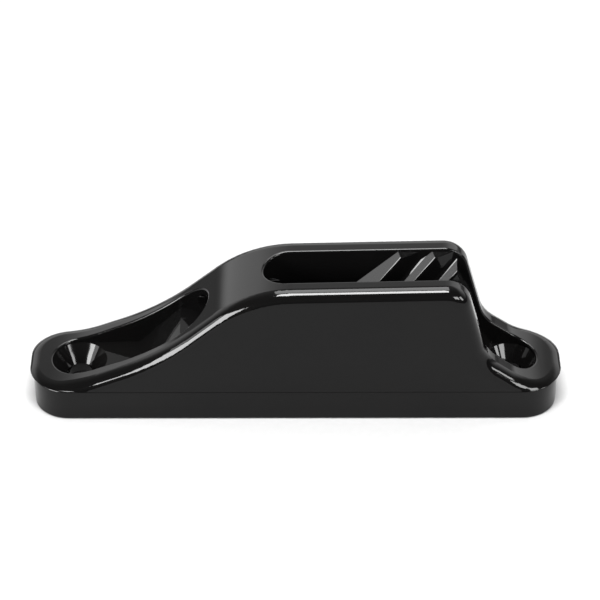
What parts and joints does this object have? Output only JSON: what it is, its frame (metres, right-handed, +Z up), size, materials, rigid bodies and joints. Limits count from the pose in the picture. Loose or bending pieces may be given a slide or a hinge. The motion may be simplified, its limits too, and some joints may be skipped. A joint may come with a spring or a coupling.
{
  "type": "fixed jaw cleat",
  "caption": "Deck-mounted jaw cleat for small cord: a ramp and fairlead bridge lead into a toothed V channel, with a countersunk screw hole at each end.",
  "frame": {"origin": "centre of the underside, on the deck plane, midway between the two screw holes", "axes": "+X along the cleat from the loaded, fairlead end to the free, open end; +Y across it; +Z up from the deck"},
  "size_m": [0.0824, 0.0154, 0.0242],
  "materials": {
    "jaw_body": "glossy black moulded nylon",
    "base_tray": "glossy black moulded nylon"
  },
  "bodies": {
    "root": {"jaw_body": "jaw_body", "base_tray": "base_tray"}
  },
  "joints": []
}
